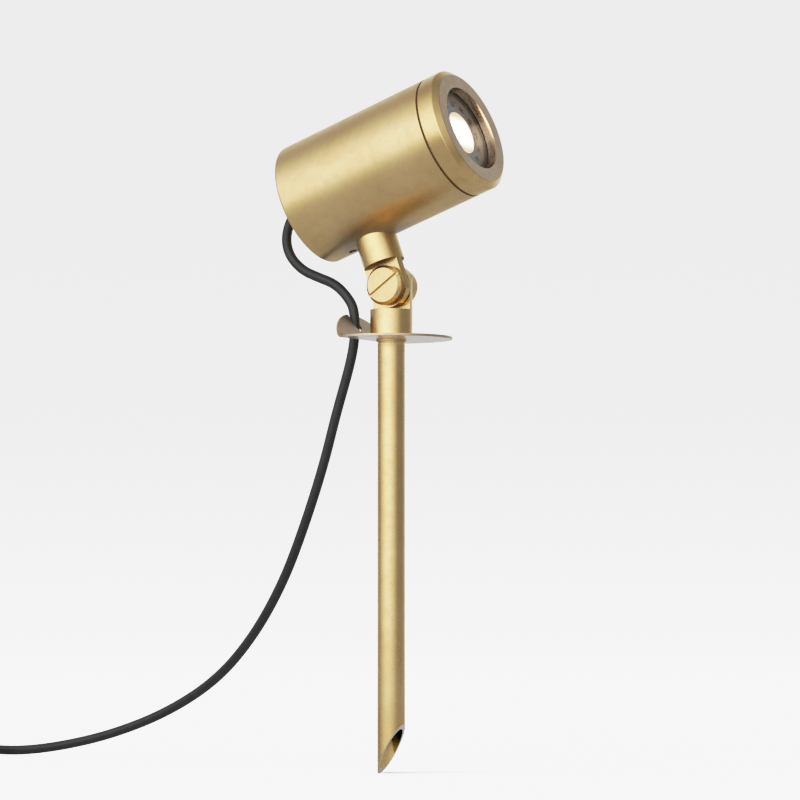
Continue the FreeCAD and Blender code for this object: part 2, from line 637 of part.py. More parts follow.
def boss_screw():
    head_top = SADDLE_TOP + BOSS_SCREW_RADIUS
    head = cylinder(BOSS_SCREW_RADIUS * SCREW_HEAD_RATIO, SADDLE_TOP, head_top, V(0, 0, 1))
    shank = cylinder(BOSS_SCREW_RADIUS, boss_top() - BOSS_SCREW_DEPTH, SADDLE_TOP, V(0, 0, 1))
    return in_head(head.fuse(shank))


def gland_body():
    thread = ring(GLAND_THREAD_RADIUS, GLAND_THREAD_RADIUS - GLAND_WALL,
                  GLAND_OUTER + GLAND_NUT_WEB, GLAND_INNER)
    return in_head(on_axis(thread))


def gland_nut():
    bore = GLAND_THREAD_RADIUS + FIT_CLEARANCE
    return in_head(on_axis(turned([
        (GLAND_OUTER, CABLE_RADIUS + TURNING_CLEARANCE), (GLAND_OUTER, GLAND_NUT_RADIUS - GLAND_NUT_TAPER),
        (REAR_POSITION - GLAND_NUT_TAPER, GLAND_NUT_RADIUS), (REAR_POSITION, GLAND_NUT_RADIUS),
        (REAR_POSITION, bore), (GLAND_OUTER + GLAND_NUT_WEB, bore),
        (GLAND_OUTER + GLAND_NUT_WEB, CABLE_RADIUS + TURNING_CLEARANCE),
    ])))


def gland_seal():
    return in_head(on_axis(ring(GLAND_THREAD_RADIUS - GLAND_WALL, CABLE_RADIUS + FIT_CLEARANCE,
                                GLAND_OUTER + GLAND_NUT_WEB, REAR_INNER)))


def gland_lock_nut():
    corner = LOCK_NUT_FLATS / math.sqrt(3)
    hexagon = [V(REAR_INNER, corner * math.cos(math.pi * k / 3), corner * math.sin(math.pi * k / 3))
               for k in range(7)]
    nut = Part.Face(Part.makePolygon(hexagon)).extrude(V(LOCK_NUT_THICKNESS, 0, 0))
    return in_head(on_axis(nut.cut(cylinder(GLAND_THREAD_RADIUS + FIT_CLEARANCE,
                                            REAR_INNER, REAR_INNER + LOCK_NUT_THICKNESS))))


def cable_entry():
    return in_head(on_axis(cylinder(CABLE_RADIUS, GLAND_OUTER, GLAND_INNER + ENTRY_TAIL)))


def cable_upper():
    points = [head_point(GLAND_OUTER, 0), head_point(GLAND_OUTER - EXIT_RUN, 0)] + UPPER_ROUTE
    return tube(rounded_route(points, "cable_upper"), CABLE_RADIUS, "cable_upper")


def coil_floor():
    return GROUND_Z + TIE_THICKNESS + TIE_CLEARANCE + CABLE_RADIUS


def coil_point(radius, side, height):
    return V(COIL_CENTRE_X, COIL_CENTRE_Y + side * radius, height)


def two_arcs(start, start_way, end, end_way):
    """Two arcs that join two points along their directions, with one tangent length."""
    gap = end - start
    ways = start_way + end_way
    a = ways.dot(ways) - 4
    b = -2 * gap.dot(ways)
    c = gap.dot(gap)
    reach = -c / b if abs(a) < 1e-9 else (-b - math.sqrt(b * b - 4 * a * c)) / (2 * a)
    if reach < 0:
        reach = (-b + math.sqrt(b * b - 4 * a * c)) / (2 * a)
    first = start + start_way * reach
    second = end - end_way * reach
    join = (first + second) / 2
    edges = []
    for begin, corner, finish in ((start, first, join), (join, second, end)):
        toward = (begin - corner).normalize()
        away = (finish - corner).normalize()
        half_turn = (math.pi - toward.getAngle(away)) / 2
        radius = reach / math.tan(half_turn)
        middle = corner + (toward + away).normalize() * (radius / math.cos(half_turn) - radius)
        edges.append(Part.Arc(begin, middle, finish).toShape())
    return edges


def coil_wire():
    """One tube: half turns that spiral in, climb a layer at the centre and spiral out on top."""
    low = coil_floor()
    stations = [(COIL_OUTER_RADIUS - COIL_STEP * k / 2, low) for k in range(COIL_BOTTOM_HALF_TURNS + 1)]
    inner = stations[-1][0]
    stations += [(inner + COIL_STEP * k / 2, low + COIL_LAYER) for k in range(COIL_TOP_HALF_TURNS + 1)]
    points = []
    for k, (radius, height) in enumerate(stations):
        side = 1 if k % 2 == 0 else -1
        points.append((coil_point(radius, side, height), V(-side, 0, 0)))
    first, last = points[0], points[-1]
    lead = 2 * CABLE_RADIUS
    edges = [Part.LineSegment(first[0] - first[1] * lead, first[0]).toShape()]
    for (start, start_way), (end, end_way) in zip(points, points[1:]):
        edges += two_arcs(start, start_way, end, end_way)
    edges.append(Part.LineSegment(last[0], last[0] + last[1] * lead).toShape())
    return Part.Wire(edges)


def least_gap(wire):
    """The least clear gap between a tube and itself, on points along its line."""
    step = CABLE_RADIUS / 2
    own_bend = 6 * CABLE_RADIUS
    points = wire.discretize(Distance=step)
    skip = round(own_bend / step)
    least = min((points[i] - points[j]).Length
                for i in range(len(points)) for j in range(i + skip, len(points)))
    return least - 2 * CABLE_RADIUS


def cable_coil():
    wire = coil_wire()
    print("cable_coil least gap to itself", round(least_gap(wire), 2))
    return tube(wire, CABLE_RADIUS, "cable_coil")


def cable_lower():
    lead = coil_wire().Edges[0]
    end = lead.valueAt(lead.FirstParameter)
    points = LOWER_ROUTE + [end + V(COIL_RUN_IN, 0, 0), end]
    return tube(rounded_route(points, "cable_lower"), CABLE_RADIUS, "cable_lower")


def cable_tail():
    lead = coil_wire().Edges[-1]
    start = lead.valueAt(lead.LastParameter)
    points = [start, start - V(COIL_RUN_OUT, 0, 0)] + TAIL_ROUTE
    return tube(rounded_route(points, "cable_tail"), CABLE_RADIUS, "cable_tail")


def coil_tie():
    """A strap round the bundle at its far side, clear of the turns."""
    clear = CABLE_RADIUS + TIE_CLEARANCE
    inner = COIL_OUTER_RADIUS - COIL_STEP * COIL_BOTTOM_HALF_TURNS / 2 - clear
    outer = COIL_OUTER_RADIUS - COIL_STEP / 2 + clear
    low = coil_floor() - clear
    high = coil_floor() + COIL_LAYER + clear
    near = COIL_CENTRE_Y - outer
    far = COIL_CENTRE_Y - inner
    left = COIL_CENTRE_X - TIE_WIDTH / 2
    right = COIL_CENTRE_X + TIE_WIDTH / 2
    outside = box(left, right, near - TIE_THICKNESS, far + TIE_THICKNESS,
                  low - TIE_THICKNESS, high + TIE_THICKNESS)
    return outside.cut(box(left, right, near, far, low, high))


def tail_core_points(side):
    """Where one stripped core leaves the sheath, where it bends outwards and where it ends."""
    before, origin = V(*TAIL_ROUTE[-2]), V(*TAIL_ROUTE[-1])
    way = (origin - before).normalize()
    across = V(-way.y, way.x, 0).normalize() * side
    start = origin + across * (CORE_RADIUS + FIT_CLEARANCE)
    return start, start + way * CORE_STRAIGHT, origin + way * CORE_TAIL + across * CORE_SPREAD


def tail_cores():
    wires = [rounded_route(tail_core_points(side), "tail core") for side in (-1, 1)]
    return Part.makeCompound([tube(wire, CORE_RADIUS, "tail core") for wire in wires])


def core_ferrules():
    ferrules = []
    for side in (-1, 1):
        start, bend, end = tail_core_points(side)
        ferrules.append(Part.makeCylinder(FERRULE_RADIUS, FERRULE_LENGTH, end, end - bend))
    return Part.makeCompound(ferrules)


NODES = [
    spike_tube, spike_collar, flange_disc, lower_knuckle, friction_washer, pivot_nut,
    pivot_screw, screw_washer, upper_knuckle, head_body, threaded_neck, bezel_o_ring,
    bezel_ring, lens_glass, lens_gasket, lamp_clip_ring, lamp_housing, lamp_front_plate,
    lamp_lens, lamp_pins, lampholder, holder_screws, holder_bracket, bracket_screws,
    terminal_block, terminal_screws, holder_leads, inner_cores, saddle_washer, boss_screw,
    gland_body, gland_nut, gland_seal, gland_lock_nut, cable_entry, cable_upper, cable_lower,
    cable_coil, coil_tie, cable_tail, tail_cores, core_ferrules,
]

os.makedirs("parts", exist_ok=True)
for make in NODES:
    shape = make()
    print(make.__name__, len(shape.Solids), "solid(s)", round(shape.Volume, 1), shape.isValid())
    shape.exportStep("parts/" + make.__name__ + ".step")
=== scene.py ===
import bmesh
import bpy
import math
from mathutils import Matrix, Vector


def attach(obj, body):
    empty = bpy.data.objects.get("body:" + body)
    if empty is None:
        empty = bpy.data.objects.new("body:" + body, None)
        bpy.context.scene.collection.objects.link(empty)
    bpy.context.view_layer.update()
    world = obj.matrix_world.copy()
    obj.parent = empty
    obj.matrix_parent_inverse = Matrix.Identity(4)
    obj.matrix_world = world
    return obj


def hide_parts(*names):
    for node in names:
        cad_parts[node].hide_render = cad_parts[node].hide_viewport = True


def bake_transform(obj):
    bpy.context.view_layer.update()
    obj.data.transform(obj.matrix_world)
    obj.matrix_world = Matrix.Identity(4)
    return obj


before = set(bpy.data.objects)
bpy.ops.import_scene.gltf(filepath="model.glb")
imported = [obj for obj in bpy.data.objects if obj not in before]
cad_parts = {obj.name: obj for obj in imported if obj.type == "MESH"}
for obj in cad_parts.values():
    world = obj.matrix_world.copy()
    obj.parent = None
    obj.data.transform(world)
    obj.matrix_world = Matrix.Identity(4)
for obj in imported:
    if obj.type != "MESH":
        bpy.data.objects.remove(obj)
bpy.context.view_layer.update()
mm = 0.001
print("frame loaded")

# the head's own frame: x forward along its axis, z away from the pivot, in millimetres
headFrame = {"pivotHeight": 25.4, "tilt": 19.8, "axisRise": 53.6}
headTurn = Matrix.Rotation(math.radians(-headFrame["tilt"]), 4, "Y")
headTurn.translation = (0, 0, headFrame["pivotHeight"])
headAxis = headTurn @ Matrix.Translation((0, 0, headFrame["axisRise"]))
headForward = headAxis.to_3x3() @ Vector((1, 0, 0))
headDown = headAxis.to_3x3() @ Vector((0, 0, -1))
upright = Matrix.Rotation(math.radians(-90), 4, "Y")  # a piece made along x then stands along z

photoView = {
    "place": (781.53, -1378.3, -109.54), "turn": 29.405, "pitch": 2.925, "focalPixels": 3356.4,
    "photoPixels": 800, "sensor": 36, "near": 0.01, "far": 50,
}


def linked(name, data):
    piece = bpy.data.objects.new(name, data)
    bpy.context.collection.objects.link(piece)
    return piece


def makeCamera(view):
    data = bpy.data.cameras.new("photoCamera")
    data.sensor_width = view["sensor"]
    data.lens = view["sensor"] * view["focalPixels"] / view["photoPixels"]
    data.clip_start = view["near"]
    data.clip_end = view["far"]
    camera = linked("photoCamera", data)
    camera.location = Vector(view["place"]) * mm
    camera.rotation_euler = (math.radians(90 + view["pitch"]), 0, math.radians(view["turn"]))
    bpy.context.scene.camera = camera


makeCamera(photoView)
print("camera placed")


# small helpers for node materials
def startSurface(name, **sockets):
    surface = bpy.data.materials.new(name)
    surface.use_nodes = True
    shader = surface.node_tree.nodes["Principled BSDF"]
    for socket, value in sockets.items():
        shader.inputs[socket.replace("_", " ")].default_value = value
    return surface, surface.node_tree.nodes, surface.node_tree.links, shader


def objectPlace(nodes):
    return nodes.new("ShaderNodeTexCoord").outputs["Object"]


def headPlace(nodes, links):
    # the surface point in the head's frame, in metres
    inverse = headAxis.inverted()
    mapping = nodes.new("ShaderNodeMapping")
    mapping.inputs["Rotation"].default_value = inverse.to_euler()
    mapping.inputs["Location"].default_value = inverse.translation * mm
    links.new(objectPlace(nodes), mapping.inputs["Vector"])
    return mapping.outputs["Vector"]


def heightOf(nodes, links, place):
    split = nodes.new("ShaderNodeSeparateXYZ")
    links.new(place, split.inputs["Vector"])
    return split.outputs["Z"]


def vectorMath(nodes, links, operation, vector, other=None):
    step = nodes.new("ShaderNodeVectorMath")
    step.operation = operation
    links.new(vector, step.inputs[0])
    if other is not None:
        step.inputs[1].default_value = other
    return step.outputs["Vector" if operation == "MULTIPLY" else "Value"]


def headRadius(nodes, links, kept):
    # distance in the head's frame, with only the kept directions counted
    flat = vectorMath(nodes, links, "MULTIPLY", headPlace(nodes, links), kept)
    return vectorMath(nodes, links, "LENGTH", flat)


def noiseAt(nodes, links, source, size, detail=3, roughness=0.5):
    noise = nodes.new("ShaderNodeTexNoise")
    noise.inputs["Scale"].default_value = 1 / (size * mm)
    noise.inputs["Detail"].default_value = detail
    noise.inputs["Roughness"].default_value = roughness
    links.new(source, noise.inputs["Vector"])
    return noise.outputs["Fac"]


def ranged(nodes, links, value, low, high, start=0.3, end=0.7, smooth=False):
    step = nodes.new("ShaderNodeMapRange")
    step.interpolation_type = "SMOOTHSTEP" if smooth else "LINEAR"
    step.inputs["From Min"].default_value = start
    step.inputs["From Max"].default_value = end
    step.inputs["To Min"].default_value = low
    step.inputs["To Max"].default_value = high
    links.new(value, step.inputs["Value"])
    return step.outputs["Result"]


def mathOf(nodes, links, operation, first, second=0):
    step = nodes.new("ShaderNodeMath")
    step.operation = operation
    for socket, value in zip(step.inputs, (first, second)):
        if isinstance(value, (int, float)):
            socket.default_value = value
        else:
            links.new(value, socket)
    return step.outputs["Value"]


def rampOf(nodes, links, value, stops, interpolation="EASE"):
    ramp = nodes.new("ShaderNodeValToRGB")
    ramp.color_ramp.interpolation = interpolation
    while len(ramp.color_ramp.elements) < len(stops):
        ramp.color_ramp.elements.new(0.5)
    for element, (place, colour) in zip(ramp.color_ramp.elements, stops):
        element.position = place
        element.color = (*colour, 1)
    links.new(value, ramp.inputs["Fac"])
    return ramp.outputs["Color"]


def blended(nodes, links, factor, first, second, mode="MIX"):
    mix = nodes.new("ShaderNodeMix")
    mix.data_type = "RGBA"
    mix.blend_type = mode
    sockets = [socket for socket in mix.inputs if socket.enabled]
    for socket, value in zip(sockets, (factor, first, second)):
        if isinstance(value, (int, float)):
            socket.default_value = value
        elif isinstance(value, tuple):
            socket.default_value = (*value, 1)
        else:
            links.new(value, socket)
    return [socket for socket in mix.outputs if socket.enabled][0]


def shaded(nodes, links, colour, value, stops, darkest):
    # the colour, darker where the value is low
    shade = rampOf(nodes, links, value, [(stops[0], darkest), (stops[1], (1, 1, 1))])
    return blended(nodes, links, 1.0, colour, shade, "MULTIPLY")


def bumpOf(nodes, links, height, distance, shader, strength):
    bump = nodes.new("ShaderNodeBump")
    bump.inputs["Strength"].default_value = strength
    bump.inputs["Distance"].default_value = distance * mm
    links.new(height, bump.inputs["Height"])
    links.new(bump.outputs["Normal"], shader.inputs["Normal"])


def mixedShader(nodes, links, factor, first, second):
    mix = nodes.new("ShaderNodeMixShader")
    for socket, value in zip(mix.inputs, (factor, first, second)):
        links.new(value, socket)
    return mix.outputs["Shader"]


# aged brass: patch, mottle, grain and blots each give a noise's size in millimetres, its detail and roughness
brassLook = {
    "pale": (0.81, 0.59, 0.285), "deep": (0.76, 0.535, 0.245), "roughness": (0.23, 0.29),
    "patch": (30, 2, 0.5), "patchStops": (0.35, 0.65),
    "mottle": (4.5, 5, 0.6), "mottleStops": (0.28, 0.6), "mottleShade": (0.92, 0.91, 0.89),
    "grain": (0.6, 3, 0.6), "grainStops": (0.28, 0.62), "grainShade": (0.94, 0.935, 0.93),
    "relief": 0.005, "bump": 0.6,
}
headLook = {**brassLook, "pale": (0.79, 0.585, 0.30), "deep": (0.745, 0.54, 0.26), "roughness": (0.31, 0.38)}
# painted shade: the collar is browner and darker where the disc above shades it
collarShadeLook = {**brassLook, "pale": (0.62, 0.41, 0.18), "deep": (0.55, 0.355, 0.15)}
spikeBoreLook = {**brassLook, "pale": (0.95, 0.75, 0.36), "deep": (0.86, 0.64, 0.28), "roughness": (0.13, 0.18)}
# painted shade for the downward face of the upper knuckle's cut shoulder
shoulderShadeLook = {**brassLook, "pale": (0.34, 0.20, 0.09), "deep": (0.26, 0.145, 0.06), "roughness": (0.40, 0.50)}
turnedFaceLook = {**brassLook, "pale": (0.75, 0.61, 0.45), "deep": (0.70, 0.56, 0.40), "roughness": (0.36, 0.44)}
boreLook = {**brassLook, "pale": (0.78, 0.58, 0.40), "deep": (0.72, 0.52, 0.34), "roughness": (0.045, 0.065)}
# painted light: a pale finish for the bright reflection on the spike's cut tip and on the disc's underside
paintedLightLook = {**brassLook, "pale": (0.98, 0.94, 0.87), "deep": (0.95, 0.90, 0.82), "roughness": (0.26, 0.34)}
dullLook = {**brassLook, "pale": (0.64, 0.51, 0.37), "deep": (0.58, 0.455, 0.325), "roughness": (0.34, 0.42)}
shadowLook = {**brassLook, "pale": (0.36, 0.26, 0.155), "deep": (0.28, 0.195, 0.11), "roughness": (0.40, 0.50)}
glandLook = {**brassLook, "pale": (0.70, 0.50, 0.27), "deep": (0.62, 0.43, 0.21)}
spikeStain = {
    "clear": -36, "full": -2, "blots": (7, 4, 0.6), "from": 0.52, "to": 0.66, "most": 0.7,
    "colour": (0.45, 0.27, 0.11),
}
# painted shade: the spike's bore darkens further up inside the tube
borePaintedShade = {
    "clear": -197, "full": -186, "blots": (4, 4, 0.6), "from": 0.2, "to": 0.4, "most": 0.95,
    "colour": (0.09, 0.05, 0.02),
}
# painted shade: a dull brown on the head's underside close to the boss
bossPaintedShade = {
    "clear": 25, "full": 11, "blots": (30, 4, 0.6), "from": 0.0, "to": 0.2, "most": 0.9,
    "colour": (0.42, 0.36, 0.28), "across": (1, 1, 0), "underside": (-12, -2),
}


def stainAndShadeReach(nodes, links, place, stainAndShade):
    # the spike's stain and the painted shade in its bore grow from one height to another; the painted shade
    # beside the boss grows toward the boss on the head's underside only
    onHead = "underside" in stainAndShade
    level = headRadius(nodes, links, stainAndShade["across"]) if onHead else heightOf(nodes, links, place)
    near = ranged(nodes, links, level, 0, stainAndShade["most"], stainAndShade["clear"] * mm, stainAndShade["full"] * mm, True)
    if onHead:
        full, clear = (height * mm for height in stainAndShade["underside"])
        below = ranged(nodes, links, heightOf(nodes, links, headPlace(nodes, links)), 1, 0, full, clear)
        near = mathOf(nodes, links, "MULTIPLY", near, below)
    return near


def agedBrass(name, look, stainAndShade=None):
    surface, nodes, links, shader = startSurface(name, Metallic=1.0)
    place = objectPlace(nodes)
    patch, mottle, grain = (noiseAt(nodes, links, place, *look[layer]) for layer in ("patch", "mottle", "grain"))
    colour = rampOf(nodes, links, patch, list(zip(look["patchStops"], (look["deep"], look["pale"]))))
    colour = shaded(nodes, links, colour, mottle, look["mottleStops"], look["mottleShade"])
    colour = shaded(nodes, links, colour, grain, look["grainStops"], look["grainShade"])
    if stainAndShade:
        near = stainAndShadeReach(nodes, links, place, stainAndShade)
        blots = noiseAt(nodes, links, place, *stainAndShade["blots"])
        spots = ranged(nodes, links, blots, 0, 1, stainAndShade["from"], stainAndShade["to"], True)
        colour = blended(nodes, links, mathOf(nodes, links, "MULTIPLY", near, spots), colour, stainAndShade["colour"])
    links.new(colour, shader.inputs["Base Color"])
    smooth, rough = look["roughness"]
    links.new(ranged(nodes, links, mottle, rough, smooth), shader.inputs["Roughness"])
    bumpOf(nodes, links, grain, look["relief"], shader, look["bump"])
    return surface


plainLook = {"wideDetail": 4, "fineDetail": 3, "fineShare": 9, "stops": (0.3, 0.7), "bump": 0.5}


def plainSurface(name, colour, shade, size, roughness, relief, **sockets):
    # one colour that wanders to a second shade, with uneven gloss and a fine bump
    surface, nodes, links, shader = startSurface(name, **sockets)
    place = objectPlace(nodes)
    wide = noiseAt(nodes, links, place, size, plainLook["wideDetail"])
    fine = noiseAt(nodes, links, place, size / plainLook["fineShare"], plainLook["fineDetail"])
    stops = list(zip(plainLook["stops"], (colour, shade)))
    links.new(rampOf(nodes, links, wide, stops), shader.inputs["Base Color"])
    links.new(ranged(nodes, links, fine, *roughness), shader.inputs["Roughness"])
    bumpOf(nodes, links, fine, relief, shader, plainLook["bump"])
    return surface


coreLook = {"brown": (0.22, 0.085, 0.035), "blue": (0.035, 0.11, 0.38), "gloss": (0.3, 0.4), "patch": 1.2}


def coreSurface(name, middle, across):
    # one core brown and the other blue, told apart by the side of the cable's middle that they lie on
    surface, nodes, links, shader = startSurface(name)
    place = objectPlace(nodes)
    limit = Vector(middle).dot(Vector(across)) * mm
    side = vectorMath(nodes, links, "DOT_PRODUCT", place, across)
    brownSide = mathOf(nodes, links, "GREATER_THAN", side, limit)
    links.new(blended(nodes, links, brownSide, coreLook["blue"], coreLook["brown"]), shader.inputs["Base Color"])
    patch = noiseAt(nodes, links, place, coreLook["patch"])
    links.new(ranged(nodes, links, patch, *coreLook["gloss"]), shader.inputs["Roughness"])
    return surface


brass = agedBrass("agedBrass", brassLook)
headBrass = agedBrass("headBrass", headLook, bossPaintedShade)
collarPaintedShadeBrass = agedBrass("collarPaintedShadeBrass", collarShadeLook)
shoulderPaintedShadeBrass = agedBrass("shoulderPaintedShadeBrass", shoulderShadeLook)
paintedLightBrass = agedBrass("paintedLightBrass", paintedLightLook)
spikeBrass = agedBrass("spikeBrass", brassLook, spikeStain)
spikeBoreBrass = agedBrass("spikeBoreBrass", spikeBoreLook, borePaintedShade)
turnedFaceBrass = agedBrass("turnedFaceBrass", turnedFaceLook)
boreBrass = agedBrass("boreBrass", boreLook)
dullBrass = agedBrass("dullBrass", dullLook)
shadowBrass = agedBrass("shadowBrass", shadowLook)
glandBrass = agedBrass("glandBrass", glandLook)
# each plain finish: its colour, second shade, patch size, roughness from and to, and relief
blackRubber = plainSurface("blackRubber", (0.016, 0.015, 0.014), (0.026, 0.024, 0.022), 4, (0.5, 0.65), 0.01)
sheathRubber = plainSurface("sheathRubber", (0.012, 0.012, 0.013), (0.019, 0.019, 0.020), 6, (0.40, 0.50), 0.01)
ringRubber = plainSurface("ringRubber", (0.13, 0.075, 0.03), (0.17, 0.10, 0.045), 4, (0.35, 0.5), 0.008)
tieNylon = plainSurface("tieNylon", (0.018, 0.018, 0.019), (0.028, 0.028, 0.03), 3, (0.32, 0.42), 0.008)
washerNylon = plainSurface("washerNylon", (0.05, 0.042, 0.035), (0.07, 0.06, 0.05), 5, (0.4, 0.5), 0.01)
stainless = plainSurface("stainless", (0.55, 0.55, 0.56), (0.63, 0.63, 0.64), 2.5, (0.22, 0.34), 0.006,
                         Metallic=1.0)
tin = plainSurface("tin", (0.66, 0.64, 0.60), (0.74, 0.72, 0.68), 1.5, (0.25, 0.35), 0.006, Metallic=1.0)
ceramic = plainSurface("ceramic", (0.78, 0.76, 0.71), (0.84, 0.82, 0.78), 6, (0.2, 0.28), 0.01)
blockPlastic = plainSurface("blockPlastic", (0.80, 0.80, 0.78), (0.86, 0.86, 0.84), 8, (0.4, 0.5), 0.01)
innerCores = coreSurface("innerCores", (0, 0, 0), (0, 1, 0))
tailCores = coreSurface("tailCores", (-336, 42.6, -202), (-0.2116, -0.9774, 0))

# the rim's darker colour is painted shade
paintLook = {
    "paint": (0.27, 0.235, 0.22), "rim": (0.115, 0.095, 0.10), "rimFrom": (18.45, 18.7), "metallic": 0.25,
    "speck": 0.8, "speckStops": (0.3, 0.65), "speckShade": (0.86, 0.86, 0.86), "roughness": (0.52, 0.42),
    "relief": 0.01, "bump": 0.5,
}
lensLook = {
    "base": (0.85, 0.82, 0.75, 1), "core": (1.0, 1.0, 0.99), "chip": (0.90, 1.0, 0.55), "end": (1.0, 0.62, 0.22),
    "endHeight": (5.3, 9.0), "endRadius": (8.9, 10.4), "chipSize": 3.4, "chipSpan": (0.12, 0.30),
    "strength": 3.0, "endStrength": 0.95, "patch": 2, "roughness": (0.15, 0.3),
}
glassLook = {"tint": (0.97, 0.985, 0.98, 1), "dust": (7, 4), "dustSpan": (0.45, 0.8), "dustRoughness": 0.03}
acrossAxis = (0, 1, 1)  # the directions that count in a distance from the head's axis


def lampPaint(name, look):
    # grey-brown paint, with painted shade darkening the lamp's outer rim
    surface, nodes, links, shader = startSurface(name, Metallic=look["metallic"])
    place = headPlace(nodes, links)
    inner, outer = (radius * mm for radius in look["rimFrom"])
    onRim = ranged(nodes, links, headRadius(nodes, links, acrossAxis), 0, 1, inner, outer)
    speck = noiseAt(nodes, links, place, look["speck"])
    colour = blended(nodes, links, onRim, look["paint"], look["rim"])
    colour = shaded(nodes, links, colour, speck, look["speckStops"], look["speckShade"])
    links.new(colour, shader.inputs["Base Color"])
    links.new(ranged(nodes, links, speck, *look["roughness"]), shader.inputs["Roughness"])
    bumpOf(nodes, links, speck, look["relief"], shader, look["bump"])
    return surface


def litLens(look):
    # white-hot in the middle with green-yellow chips, amber at its upper and lower ends and along its edge
    surface, nodes, links, shader = startSurface("litLens", Roughness=0.2)
    place = headPlace(nodes, links)
    height = mathOf(nodes, links, "ABSOLUTE", heightOf(nodes, links, place))
    low, high = (level * mm for level in look["endHeight"])
    end = ranged(nodes, links, height, 0, 1, low, high, True)
    inner, outer = (radius * mm for radius in look["endRadius"])
    edge = ranged(nodes, links, headRadius(nodes, links, acrossAxis), 0, 1, inner, outer)
    end = mathOf(nodes, links, "MAXIMUM", end, edge)
    cells = nodes.new("ShaderNodeTexVoronoi")
    cells.inputs["Scale"].default_value = 1 / (look["chipSize"] * mm)
    links.new(place, cells.inputs["Vector"])
    chip = ranged(nodes, links, cells.outputs["Distance"], 1, 0, *look["chipSpan"], True)
    centre = blended(nodes, links, chip, look["core"], look["chip"])
    links.new(blended(nodes, links, end, centre, look["end"]), shader.inputs["Emission Color"])
    strength = ranged(nodes, links, end, look["strength"], look["endStrength"], 0, 1)
    links.new(strength, shader.inputs["Emission Strength"])
    patch = noiseAt(nodes, links, place, look["patch"])
    links.new(ranged(nodes, links, patch, *look["roughness"]), shader.inputs["Roughness"])
    shader.inputs["Base Color"].default_value = look["base"]
    return surface


def clearGlass(look):
    # shadow rays pass straight through, so the lamp behind the glass stays lit
    surface, nodes, links, shader = startSurface("clearGlass", IOR=1.5, Transmission_Weight=1.0,
                                                 Specular_IOR_Level=0.15)
    shader.inputs["Base Color"].default_value = look["tint"]
    dust = noiseAt(nodes, links, objectPlace(nodes), *look["dust"])
    dusty = ranged(nodes, links, dust, 0.0, look["dustRoughness"], *look["dustSpan"])
    links.new(dusty, shader.inputs["Roughness"])
    shadowRay = nodes.new("ShaderNodeLightPath").outputs["Is Shadow Ray"]
    through = nodes.new("ShaderNodeBsdfTransparent").outputs["BSDF"]
    mixed = mixedShader(nodes, links, shadowRay, shader.outputs["BSDF"], through)
    links.new(mixed, nodes["Material Output"].inputs["Surface"])
    return surface


lampFinish = lampPaint("lampPaint", paintLook)
# painted shade: near-black paint for the vents' walls and the lamp housing
ventPaintedShade = lampPaint("ventPaintedShadeFinish", {**paintLook, "paint": (0.035, 0.028, 0.026)})
lensFinish = litLens(lensLook)
glassFinish = clearGlass(glassLook)
print("finishes made")

# rigid pieces: angles in degrees, and points closer than a merge distance, in metres, become one
meshing = {
    "sharp": 32, "flat": 0.6, "profile": 0.5, "steps": 96, "bezelSteps": 128, "mergeTurned": 1e-6,
    "mergeCopied": 2e-6, "mergeCut": 1e-7,
}


def metres(place):
    scaled = place.copy()
    scaled.translation = place.translation * mm
    return scaled


def headSpot(face):
    # the middle of a face in the head's frame, in metres
    return metres(headAxis).inverted() @ face.calc_center_median()


def addPiece(name, bm, surface, body, nodes):
    mesh = bpy.data.meshes.new(name)
    bm.to_mesh(mesh)
    bm.free()
    mesh.shade_smooth()
    mesh.set_sharp_from_angle(angle=math.radians(meshing["sharp"]))
    for finish in surface if isinstance(surface, list) else [surface]:
        mesh.materials.append(finish)
    piece = linked(name, mesh)
    weighted = piece.modifiers.new("evenNormals", "WEIGHTED_NORMAL")
    weighted.keep_sharp = True
    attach(piece, body)
    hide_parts(*nodes)
    return piece


def roundEdges(bm, width, segments=2):
    limit = math.radians(meshing["sharp"])
    sharp = [edge for edge in bm.edges if len(edge.link_faces) == 2 and edge.calc_face_angle() > limit]
    bmesh.ops.bevel(bm, geom=sharp, offset=width * mm, offset_type="OFFSET", affect="EDGES", segments=segments,
                    profile=meshing["profile"], material=-1, clamp_overlap=True)


def turned(outline, place, steps=meshing["steps"], closed=True, width=0.0, segments=2):
    # spins (x, radius) corners about x: a closed outline gives a ring, an open one ends on the axis
    bm = bmesh.new()
    corners = [bm.verts.new((x * mm, 0, radius * mm)) for x, radius in outline]
    pairs = list(zip(corners, corners[1:]))
    if closed:
        pairs.append((corners[-1], corners[0]))
    edges = [bm.edges.new(pair) for pair in pairs]
    bmesh.ops.spin(bm, geom=corners + edges, cent=(0, 0, 0), axis=(1, 0, 0), angle=2 * math.pi, steps=steps,
                   use_merge=True, use_duplicate=False)
    bmesh.ops.remove_doubles(bm, verts=bm.verts, dist=meshing["mergeTurned"])
    bmesh.ops.recalc_face_normals(bm, faces=bm.faces)
    if width:
        roundEdges(bm, width, segments)
    bmesh.ops.transform(bm, matrix=metres(place), verts=bm.verts)
    return bm


def copyOf(node, width, segments=2):
    # a node's mesh, merged, with its flats cleaned and its sharp edges rounded
    bm = bmesh.new()
    bm.from_mesh(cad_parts[node].data)
    bmesh.ops.remove_doubles(bm, verts=bm.verts, dist=meshing["mergeCopied"])
    bmesh.ops.dissolve_limit(bm, angle_limit=math.radians(meshing["flat"]), verts=bm.verts, edges=bm.edges,
                             use_dissolve_boundaries=False)
    if width:
        roundEdges(bm, width, segments)
    return bm


def addCopy(name, node, surface, body, width=0.0, segments=2):
    return addPiece(name, copyOf(node, width, segments), surface, body, [node])


def finishFaces(bm, index, chosen):
    # in the settings below, faces... is a limit on the cosine between a face's normal and a direction
    for face in bm.faces:
        if chosen(face):
            face.material_index = index


spike = {
    "radius": 6.5, "wall": 1.2, "depth": 204.6, "tipCut": 23.2, "neck": 6.3, "neckFrom": -1.6, "top": 9.2,
    "round": 0.18, "facesIn": -0.5, "facesCut": 0.97,
}


